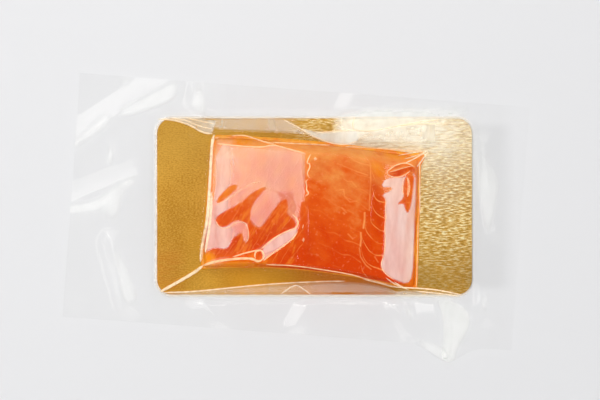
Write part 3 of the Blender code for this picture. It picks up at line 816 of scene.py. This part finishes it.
def foil_material():
    """Gold foil on card: a fine grain, and an embossing of short wavy lines that grows to the right, its pale
    crests painted glints; over it painted reflections, painted shade and painted light.
    """
    paint = Paint("gold_card")
    lines = paint.noise(620, stretch=(0.42, 2.0), roughness=0.55)
    grain = paint.noise(1300, stretch=(0.6, 1.2), roughness=0.7)
    right = paint.linear(paint.patch((Y, -0.052, -0.012)), 0.7, 0.3)
    right = paint.product(paint.patch((X, 0.02, 0.085)), right)
    behind = paint.product(paint.patch((X, -0.025, 0.0), (Y, 0.034, 0.05)), 0.65)
    embossed = paint.math("MAXIMUM", right, behind)
    height = paint.linear(lines, paint.linear(embossed, 0.9, 0.1), paint.product(grain, 0.05))
    tone = paint.linear(grain, 0.6, paint.product(paint.noise(18, 4), 0.4))
    plain = paint.ramp(tone, (0.4, 0.6), PLAIN_GOLD)
    # the embossing's pale crests are painted glints
    colour = paint.blend(embossed, plain, paint.ramp(lines, (0.38, 0.5, 0.62), EMBOSSED_GOLD_AND_GLINTS))
    # Painted reflection of the bright sheet of light at the back, in streaks
    streaks = paint.linear(paint.span(paint.noise(520, stretch=(0.3, 1.5)), 0.62, 0.42), 0.45, 0.5)
    less = paint.linear(paint.patch((X, 0.08, 0.098)), -0.4, 1.0)
    painted_glow = paint.product(paint.patch((X, 0.010, 0.019), (Y, 0.01, 0.052)), less, streaks)
    colour = paint.blend(painted_glow, colour, PAINTED_GLOW)
    # Painted reflection of the fish on the foil in front of it
    front = paint.patch((Y, -0.03, -0.042), (X, 0.06, 0.04), (X, -0.075, -0.045))
    glint = paint.blend(paint.patch((X, -0.025, 0.01)), AMBER_GLINT, RED_GLINT)
    colour = paint.blend(paint.product(front, 0.55), colour, glint)
    # Duller with painted shade behind the fillet's left half, brighter with painted light beside it, and
    # ruddy streaks at the front left corner
    corner = paint.product(paint.patch((Y, 0.0, 0.05), (X, -0.03, -0.07)), 0.4)
    colour = paint.blend(corner, colour, SHADED_GOLD)
    beside = paint.product(paint.patch((X, -0.09, -0.076), (Y, 0.0, -0.026), (X, -0.055, -0.065)), 0.2)
    colour = paint.blend(beside, colour, LIT_GOLD)
    stripes = paint.linear(paint.span(paint.noise(260, 3, stretch=(0.15, 1)), 0.35, 0.6), 0.35, 0.12)
    low = paint.product(paint.patch((X, -0.078, -0.09), (Y, -0.016, -0.04)), stripes)
    colour = paint.blend(low, colour, RUDDY_GOLD)
    return paint.finish(paint.add("BsdfPrincipled", {
        "Base Color": colour, "Metallic": 1.0, "Roughness": paint.linear(paint.noise(60), 0.14, 0.36),
        "Normal": paint.bump(height, 0.0007, 0.7),
    }))


def fish_material():
    """Salted salmon flesh: redder in front, paler behind, with pale lines between its flakes, and deep red
    painted shade where its tone is below 0.
    """
    paint = Paint("fish")
    depth = paint.linear(paint.patch((Y, -0.05, 0.045)), 0.68, -0.51)
    depth = paint.linear(paint.noise(70, 5, roughness=0.6), 0.75, depth)
    patches = paint.noise(210, 3, stretch=(1, 0.6), roughness=0.6, turn=STRAND_TURN)
    depth = paint.linear(patches, 0.55, depth)
    middle = paint.patch((X, 0.004, 0.014), (X, 0.036, 0.026), (Y, -0.026, -0.01), (Y, 0.022, 0.006))
    depth = paint.linear(middle, 0.12, depth)
    depth = paint.linear(paint.patch((Y, 0.027, 0.035)), 0.12, depth)
    colour = paint.ramp(depth, (0.2, 0.5, 0.95), FLESH)
    tone = paint.attribute("tone")
    uneven = paint.linear(paint.noise(260, 3, stretch=(1, 0.5)), 0.9, 0.45)
    colour = paint.blend(paint.product(tone, uneven), colour, AMBER_FLESH)
    # deep red painted shade where the tone is below 0
    colour = paint.blend(paint.product(tone, -1.0, uneven), colour, SHADED_FLESH)
    apart = paint.math("ABSOLUTE", paint.math("SUBTRACT", paint.math("FRACT", paint.attribute("flake")), 0.5))
    broken = paint.span(paint.noise(110, 3), 0.36, 0.6)
    line = paint.product(paint.span(apart, 0.42, 0.49), paint.attribute("line"), broken)
    colour = paint.blend(line, colour, FLAKE_LINE)
    fat = paint.product(paint.attribute("fat"), paint.linear(broken, 0.5, 0.5))
    colour = paint.blend(fat, colour, FAT_STRING)
    strands = paint.span(paint.noise(330, 3, stretch=(0.25, 1), turn=STRAND_TURN), 0.5, 0.68)
    strands = paint.product(strands, paint.patch((X, -0.008, -0.014)), 0.5)
    colour = paint.blend(strands, colour, STRAND)
    soaked = paint.ramp(paint.noise(60), (0.4, 0.62), SOAKED_FLESH)
    colour = paint.blend(paint.attribute("side"), colour, soaked)
    speckle = paint.product(paint.span(paint.noise(480), 0.6, 0.72), 0.22)
    colour = paint.blend(speckle, colour, SPECKLE)
    fibres = paint.linear(line, -0.6, paint.noise(500, stretch=(1, 0.3)))
    return paint.finish(paint.add("BsdfPrincipled", {
        "Base Color": colour, "Roughness": 0.45, "Specular IOR Level": 0.0, "Subsurface Weight": 0.12,
        "Subsurface Radius": (1.0, 0.35, 0.12), "Subsurface Scale": 0.002,
        "Normal": paint.bump(fibres, 0.0002, 0.5),
    }))


def brine_material():
    """Amber oil and brine pressed out round the fillet."""
    paint = Paint("brine")
    return paint.finish(paint.add("BsdfPrincipled", {
        "Base Color": paint.ramp(paint.noise(150, 3), (0.35, 0.65), BRINE), "Roughness": 0.2,
        "Normal": paint.bump(paint.noise(400), 0.0002, 0.4),
    }))


def floor_material():
    """Matt pale paper, a little darker where it falls away from the key light."""
    paint = Paint("floor")
    across = paint.linear(paint.place(Y), -0.6, paint.place(X))
    return paint.finish(paint.add("BsdfPrincipled", {
        "Base Color": paint.blend(paint.span(across, -0.16, 0.2), PAPER, SHADED_PAPER),
        "Roughness": 0.9, "Specular IOR Level": 0.1, "Normal": paint.bump(paint.noise(900), 0.00005, 0.2),
    }))


# --- Pieces ---
def fold_line(pixels, level):
    """A fold's smooth line in plan, in even steps."""
    points = on_object(pixels, level)
    for _ in range(2):
        points = np.concatenate((points[:1], cut_corners(points[:-1], points[1:]), points[-1:]))
    gone = np.concatenate(([0], np.cumsum(np.linalg.norm(np.diff(points, axis=0), axis=1))))
    steps = np.linspace(0, gone[-1], max(int(gone[-1] / FOLD_STEP), 4) + 1)
    return np.column_stack([np.interp(steps, gone, points[:, axis]) for axis in (0, 1)]), steps


def make_folds(solved):
    """The pinched folds: flat round welts along the film, thinning out at both ends."""
    points, faces, white, warm = [], [], [], []
    angles = np.linspace(0, 2 * math.pi, FOLD_SIDES, endpoint=False)
    for half_width, whiteness, level, pixels in FOLDS:
        line, steps = fold_line(pixels, level)
        along = np.gradient(line, axis=0)
        along /= np.linalg.norm(along, axis=1)[:, None]
        across = np.column_stack((along[:, 1], -along[:, 0]))
        ends = np.minimum(steps, steps[-1] - steps) / min(FOLD_TAPER, steps[-1] / 2)
        radius = half_width * np.sqrt(np.clip(ends, FOLD_TIP**2, 1))
        radius *= 1 + FOLD_WAVER * np.sin(steps * FOLD_WAVER_RATE + level)
        centre = np.maximum(bilinear(solved, line[:, 0], line[:, 1]), LEAST_TOP) + FOLD_LIFT * radius
        plan = line[:, None] + (across * radius[:, None])[:, None] * np.cos(angles)[:, None]
        z = centre[:, None] + radius[:, None] * FOLD_FLATNESS * np.sin(angles)
        first = sum(map(len, points))
        ring = first + np.arange(len(line))[:, None] * FOLD_SIDES + np.arange(FOLD_SIDES)
        faces += ring_faces(ring[:-1], ring[1:])
        faces += [ring[0].tolist(), ring[-1, ::-1].tolist()]
        points.append(np.concatenate((plan, z[..., None]), -1).reshape(-1, 3))
        white.append(np.full(len(points[-1]), whiteness))
        warm.append(np.full(len(points[-1]), float(level > FILLET_LEVEL)))
    folds = new_piece("film_folds", np.concatenate(points), faces, fold_material())
    mark(folds, "white", np.concatenate(white))
    mark(folds, "warm", np.concatenate(warm))
    return folds


def make_web(name, x, y, z, mirror):
    """One web of the pouch, from a grid of points."""
    points = np.stack((x, y, z), -1).reshape(-1, 3)
    return new_piece(name, points, grid_faces(*x.shape), film_material(name, mirror))


def make_film():
    """The pouch's top and bottom webs, and its folds."""
    x, y = np.meshgrid(*[np.arange(low, high, GRID) for low, high in zip(GRID_LOW, GRID_HIGH)])
    solved = solve_film(x, y, plain_film(x, y))
    solved = soft_most(np.array((solved, over_fillet(x, y, FILM_GAP))), TOUCH_BLEND)[0]
    x, y = pouch_plan(*TOP_WEB_POINTS)
    top = make_web("film_top", x, y, np.maximum(bilinear(solved, x, y), LEAST_TOP), TOP_WEB_MIRROR)
    mark(top, "rim", rim_highlight_marks(x, y))
    mark(top, "haze", haze_and_reflection_marks(x, y))
    mark(top, "shine", shine_marks(x, y))
    mark(top, "shade", shade_marks(x, y))
    x, y = pouch_plan(*BOTTOM_WEB_POINTS)
    bottom = make_web("film_bottom", x, y, skirt_height(x, y) + BOTTOM_LIFT, BOTTOM_WEB_MIRROR)
    mark(bottom, "shine", faint_end(x))
    mark(bottom, "shade", FILM_SHADE * faint_end(x))
    folds = make_folds(solved)
    for piece in (top, bottom, folds):
        piece.visible_shadow = False
        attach(piece, "root")
        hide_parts("pouch")


def fillet_side(corners, side, t):
    """Points along one bowed side of the fillet."""
    start, along, length, outward = list(sides_of(corners))[side]
    t = np.asarray(t)[:, None]
    points = start + along * length * t + outward * SIDE_BOWS[side] * 4 * t * (1 - t)
    corners = np.array(corners, float)
    inward = corners.mean(0) - corners
    inward /= np.linalg.norm(inward, axis=1)[:, None]
    distance = np.linalg.norm(points[:, None] - corners[None], axis=2)
    return points + CORNER_CUT * np.clip(1 - distance / CORNER_REACH, 0, 1) ** 2 @ inward


FILLET_CELLS = (340, 235)  # squares over its top, from left to right and from front to back
SIDE_STEPS = 14
FLAKE = 9.2  # from one flake to the next
FLAKE_SLANT_LEFT, FLAKE_SLANT = 1.5, 0.5  # of the flakes' lines, left and right of the seam
SEAM, FACE_END = -4.1, 44.1  # the seam, where flakes turn, and the end of the cut face's upper part
HOOK_BACK, HOOK_FRONT = 35.2, 29.0  # the line past which flakes hook, at the back and in front
HOOK_BEND, HOOK_BEND_LENGTH = 2.0, 18.0  # how far in front of the middle it bends, and over what length
HOOK = 15.0  # how far a flake's line drops there
# How flake lines waver. Each: how far, and its length along x and y
WAVERS = [(0.9, 7.0, 11.0), (0.6, 3.1, -4.7), (0.25, 1.1, 1.7)]
# How plainly they show: at least, more towards the hooks, more left of the seam, and in the hooks
PLAIN, PLAIN_RISE, PLAIN_LEFT, PLAIN_HOOKED = 0.1, 0.25, 0.25, 0.8
LOW_FADE, LOW_FADE_LENGTH = 0.4, 3.0  # and how much less past the face's upper part, and over what length
GROOVE, GROOVE_WIDTH = 0.3, 0.05  # depth of a flake's line, and its half width in flakes
SOAKED, SOAKED_RISE = 0.8, 8.0  # how amber the brine has made the sides, and how far up

# Pale strings between the flakes. Each: half width, strength and the line it follows
FAT = [
    (0.5, 0.65, [(370.5, 163.5), (371, 180), (370, 195), (369.6, 210)]),
    (0.8, 0.9, [(364.8, 213), (364.6, 220), (363.6, 228)]),
    (0.7, 0.8, [(360.8, 233), (361.2, 239), (360.4, 246)]),
    (0.5, 0.55, [(359.4, 248), (360.7, 257), (366, 265.2), (371.4, 269.6)]),
    (0.5, 0.6, [(344.6, 152), (353.6, 160), (361.6, 163.6), (371.4, 165.4)]),
    (0.5, 0.55, [(362.5, 150), (366, 157), (370.5, 163.5)]),
    (0.5, 0.6, [(337.5, 163.6), (346.4, 167), (357, 171.6), (367.9, 175.2)]),
    (0.5, 0.6, [(343.8, 178.8), (347.3, 181.4), (351.8, 181.4), (356.3, 186.8)]),
    (0.5, 0.5, [(335.7, 190.4), (343.8, 189.5), (344.6, 196.6), (350, 202), (357, 201)]),
    (0.6, 0.5, [(342, 208), (346.4, 212.5)]),
    (0.8, 0.6, [(343.6, 213), (344.4, 213.8)]),
    (0.5, 0.5, [(375, 257), (378.6, 262.5)]),
    (0.5, 0.55, [(348, 234), (353, 239)]),
]
FAT_CORE = 0.2  # share of its half width where a string is strongest

# Tones of the flesh, amber above 0, and below 0 a deep red that is painted shade. Each: amount, soft edge,
# height and outline
TONES_AND_SHADES = [
    (0.5, 4.0, 20, [(372, 161), (380, 163), (386, 169), (382, 178), (375, 177), (371, 170)]),
    (0.6, 4.0, 18, [(384, 149), (402, 151), (424, 152), (412, 159), (398, 159), (386, 157)]),
    (0.75, 2.0, 12, [(211, 138), (217, 138), (216.5, 200), (210, 200)]),
    (0.9, 4.0, 10, [(200, 251), (212, 252), (216, 260), (212, 266), (198, 266)]),
    (0.3, 2.0, 16, LENS[:-1]),
    (0.4, 2.0, 10, [(202, 262), (225, 261), (255, 262), (255, 267), (225, 268), (203, 270)]),
    (0.45, 14.0, 10, [(202, 257), (225, 256), (272, 257), (272, 274), (225, 274), (203, 276)]),
    (0.7, 2.0, 12, [(219, 136), (231, 135.5), (244, 138), (255, 142), (244, 145), (228, 144), (219, 142)]),
    (-0.85, 1.5, 14, [(387, 173), (397, 170.5), (408, 167), (408, 171), (398, 177), (391, 176.5)]),
    (-0.7, 1.5, 15, [(389, 170), (396, 165.5), (405, 164), (399, 167.5)]),
    (-0.9, 1.5, 12, [(408, 165), (415, 167), (416, 172), (409, 171)]),
    (-0.7, 1.5, 8, [(415, 165), (424, 155), (428, 151.5), (421, 163), (417, 169)]),
    (-0.5, 6.0, 19, [(372, 180), (381, 190), (385, 205), (384, 225), (376, 222), (370, 195)]),
    (-0.5, 3.0, 11, [(402.5, 176), (406, 176), (405, 205), (408, 213), (411, 206), (410, 214), (404, 213)]),
    (-0.7, 1.5, 14, [(349, 144), (385, 145), (425, 149), (425, 151), (385, 147), (349, 146)]),
    (-0.35, 12.0, 20, [(262, 148), (300, 154), (300, 196), (262, 190)]),
    (-0.5, 6.0, 20, [(262, 228), (285, 222), (297, 226), (270, 240), (258, 246)]),
    (-0.6, 1.5, 8, [(413.5, 175), (416, 175), (416, 285), (413.5, 285)]),
    (-0.4, 6.0, 22, [(304, 228), (312, 228), (314, 262), (302, 262)]),
    (-0.22, 8.0, 22, [(308, 158), (328, 158), (328, 176), (308, 180)]),
    (-0.25, 6.0, 19, [(364, 166), (382, 178), (385, 200), (382, 240), (370, 236), (366, 200)]),
]


def tone_and_shade_marks(x, y):
    """How amber the flesh is, or below 0 how deep a red of painted shade it has."""
    tone = np.zeros_like(x)
    for amount, edge, level, pixels in TONES_AND_SHADES:
        tone += amount * within(x, y, pixels, level, edge)
    return tone


def flake_marks(x, y):
    """The number of flakes counted from the back, and how plainly their lines show."""
    down = -y
    hook_x = HOOK_BACK + (HOOK_FRONT - HOOK_BACK) * ease((down - HOOK_BEND) / HOOK_BEND_LENGTH)
    turn = np.clip((FACE_END - x) / (FACE_END - hook_x), 0, 1)
    hooked = down - HOOK * np.sqrt(1 - turn**2) - FLAKE_SLANT * (hook_x - SEAM)
    level = np.where(x < SEAM, down + FLAKE_SLANT_LEFT * (x - SEAM), down - FLAKE_SLANT * (x - SEAM))
    waver = sum(amount * np.sin(x / along + y / across) for amount, along, across in WAVERS)
    count = (np.where(x > hook_x, hooked, level) + waver) / FLAKE
    plain = PLAIN + PLAIN_RISE * ease((x - SEAM) / (hook_x - SEAM)) + PLAIN_LEFT * (x < SEAM)
    plain = np.where(x < hook_x, plain, PLAIN_HOOKED) - LOW_FADE * ease((x - FACE_END) / LOW_FADE_LENGTH)
    return count, plain


def fat_marks(x, y):
    """Where pale strings run between the flakes."""
    fat = np.zeros_like(x)
    for half_width, strength, pixels in FAT:
        points = on_object(pixels, FILLET_BOTTOM + PEAK)
        distance = np.min([from_line(x, y, *ends)[0] for ends in zip(points, points[1:])], 0)
        fat = np.maximum(fat, strength * ease(1 + FAT_CORE - distance / half_width))
    return fat


def fillet_plan(u, v):
    """A grid over the fillet's top outline, running in from its four bowed sides."""
    front, right = fillet_side(TOP_CORNERS, 0, u), fillet_side(TOP_CORNERS, 1, v)
    back, left = fillet_side(TOP_CORNERS, 2, u)[::-1], fillet_side(TOP_CORNERS, 3, v)[::-1]
    s, t = u[None, :, None], v[:, None, None]
    plan = (1 - t) * front[None] + t * back[None] + (1 - s) * left[:, None] + s * right[:, None]
    front_corners = (1 - s) * (1 - t) * front[0] + s * (1 - t) * front[-1]
    back_corners = (1 - s) * t * back[0] + s * t * back[-1]
    return plan - front_corners - back_corners


def make_fillet():
    """The fillet's flaky top, rounded sides and flat underside."""
    columns, rows = FILLET_CELLS
    u, v = np.linspace(0, 1, columns + 1), np.linspace(0, 1, rows + 1)
    plan = fillet_plan(u, v)
    count, plain = flake_marks(plan[..., 0], plan[..., 1])
    groove = GROOVE * plain * ease(1 - (0.5 - np.abs(count % 1 - 0.5)) / GROOVE_WIDTH)
    z = FILLET_BOTTOM + fillet_height(plan[..., 0], plan[..., 1]) - groove
    top = np.concatenate((plan, z[..., None]), -1)
    points = [top.reshape(-1, 3)]
    faces = grid_faces(rows + 1, columns + 1)
    number = np.arange((rows + 1) * (columns + 1)).reshape(rows + 1, columns + 1)
    ring = np.concatenate((number[0, :-1], number[:-1, -1], number[-1, :0:-1], number[:0:-1, 0]))
    upper = points[0][ring]
    foot = np.concatenate([fillet_side(FOOT_CORNERS, side, f[:-1]) for side, f in enumerate((u, v, u, v))])
    for step in range(1, SIDE_STEPS + 1):
        angle = math.pi / 2 * step / SIDE_STEPS
        plan = upper[:, :2] + (foot - upper[:, :2]) * math.sin(angle)
        z = FILLET_BOTTOM + (upper[:, 2] - FILLET_BOTTOM) * math.cos(angle)
        points.append(np.column_stack((plan, z)))
        following = np.arange(len(ring)) + sum(map(len, points[:-1]))
        faces += ring_faces(ring, following)
        ring = following
    faces.append(ring[::-1].tolist())
    points = np.concatenate(points)
    fillet = new_piece("fillet_flesh", points, faces, fish_material())
    count, plain = flake_marks(points[:, 0], points[:, 1])
    mark(fillet, "flake", count)
    mark(fillet, "line", plain)
    mark(fillet, "fat", fat_marks(points[:, 0], points[:, 1]))
    mark(fillet, "tone", tone_and_shade_marks(points[:, 0], points[:, 1]))
    mark(fillet, "side", SOAKED * ease(1 - (points[:, 2] - FILLET_BOTTOM) / SOAKED_RISE))
    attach(fillet, "root")
    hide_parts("fillet")


BRINE_STEPS = 60  # along each side of the fillet
BRINE_WIDTHS = [0.9, 1.9, 2.2, 1.2]  # of the pool beside the front, right, back and left side
# How far it runs out at the front left, front right, back right and back left corner, and over what length
BRINE_CORNERS = [3.0, 1.5, 8.0, 2.5]
BRINE_CORNER_REACH = 6.0
# Rings round the pool's section. Each: how far out from the foot, as a share of its width, and its height
BRINE_RINGS = [
    (-0.6, FILLET_BOTTOM - 0.2),
    (-0.6, FILLET_BOTTOM + 1.0),
    (0.4, FILLET_BOTTOM + 0.3),
    (1.0, BOARD_TOP + 0.12),
    (1.0, BOARD_TOP + 0.04),
]


def make_brine():
    """A thin pool round the fillet's foot, drawn out to a point at its corners."""
    corners = np.array(FOOT_CORNERS, float)
    outward = corners - corners.mean(0)
    outward /= np.linalg.norm(outward, axis=1)[:, None]
    foot, out = [], []
    for side in range(4):
        foot.append(fillet_side(FOOT_CORNERS, side, np.linspace(0, 1, BRINE_STEPS, endpoint=False)))
        normal = list(sides_of(FOOT_CORNERS))[side][3]
        out.append(np.full((BRINE_STEPS, 1), BRINE_WIDTHS[side]) * normal)
    foot, out = np.concatenate(foot), np.concatenate(out)
    near = np.clip(1 - np.linalg.norm(foot[:, None] - corners, axis=2) / BRINE_CORNER_REACH, 0, 1)
    out = out + (near**2 * BRINE_CORNERS) @ outward
    rings = [np.column_stack((foot + out * reach, np.full(len(foot), z))) for reach, z in BRINE_RINGS]
    number = np.arange(len(rings) * len(foot)).reshape(len(rings), -1)
    faces = ring_faces(number, np.roll(number, -1, 0))
    brine = new_piece("brine", np.concatenate(rings), faces, brine_material())
    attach(brine, "root")


def dress_board():
    """Gives the CAD board its foil."""
    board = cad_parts["board"]
    board.data.materials.clear()
    board.data.materials.append(foil_material())


# --- Stage ---
FLOOR = 2500.0  # from its middle to its edges
LIGHT_DISTANCE = 1800.0
HORIZON_GLOW, ZENITH_GLOW = 0.9, 0.13  # of the room: pale walls, dark overhead
HORIZON_UP, ZENITH_UP = 0.05, 0.6  # how steeply upward, from 0 to 1, the one ends and the other starts


def softbox(name, lean, span, radiance):
    """An area light where a film of this lean mirrors it to the camera."""
    steep = math.hypot(*lean)
    tilt = 2 * math.atan(steep)
    away = np.array(lean) / steep
    direction = Vector((away[0] * math.sin(tilt), away[1] * math.sin(tilt), math.cos(tilt)))
    data = bpy.data.lights.new(name, "AREA")
    data.shape = "RECTANGLE"
    data.size = 2 * LIGHT_DISTANCE * math.sin(tilt) * span[1] / steep * MM
    data.size_y = 2 * LIGHT_DISTANCE * math.tan(math.atan(steep + span[0]) - math.atan(steep - span[0])) * MM
    data.energy = radiance * math.pi * data.size * data.size_y
    light = bpy.data.objects.new(name, data)
    light.location = direction * LIGHT_DISTANCE * MM
    light.rotation_mode = "QUATERNION"
    light.rotation_quaternion = direction.to_track_quat("Z", "Y")
    light.visible_camera = False
    bpy.context.scene.collection.objects.link(light)


def make_lights():
    """The softboxes, and a room that is dark overhead."""
    for name, (lean, span, radiance) in SOFTBOXES.items():
        softbox(f"{name}_softbox", lean, span, radiance)
    world = bpy.data.worlds.new("studio")
    world.use_nodes = True
    tree = world.node_tree
    upward = tree.nodes.new("ShaderNodeSeparateXYZ")
    tree.links.new(tree.nodes.new("ShaderNodeTexCoord").outputs["Generated"], upward.inputs[0])
    fade = tree.nodes.new("ShaderNodeMapRange")
    fade.interpolation_type = "SMOOTHSTEP"
    tree.links.new(upward.outputs[2], fade.inputs[0])
    for number, value in enumerate((HORIZON_UP, ZENITH_UP, HORIZON_GLOW, ZENITH_GLOW), 1):
        fade.inputs[number].default_value = value
    tree.nodes["Background"].inputs[0].default_value = (1, 1, 1, 1)
    tree.links.new(fade.outputs[0], tree.nodes["Background"].inputs[1])
    bpy.context.scene.world = world


def make_floor():
    """The paper the pack lies on."""
    corners = [(-FLOOR, -FLOOR, 0), (FLOOR, -FLOOR, 0), (FLOOR, FLOOR, 0), (-FLOOR, FLOOR, 0)]
    floor = new_piece("floor", corners, [(0, 1, 2, 3)], floor_material())


def make_camera():
    """Straight above, where the photograph's middle lies on the object."""
    data = bpy.data.cameras.new("camera")
    data.sensor_width = SENSOR
    data.lens = SENSOR * (CAMERA_HEIGHT - BOARD_TOP) / (PHOTO_WIDTH * PIXEL)
    camera = bpy.data.objects.new("camera", data)
    camera.location = (VIEW_CENTRE[0] * MM, VIEW_CENTRE[1] * MM, CAMERA_HEIGHT * MM)
    bpy.context.scene.collection.objects.link(camera)
    bpy.context.scene.camera = camera


make_camera()
make_lights()
make_floor()
dress_board()
make_fillet()
make_brine()
make_film()
bpy.context.scene.view_settings.view_transform = "Standard"
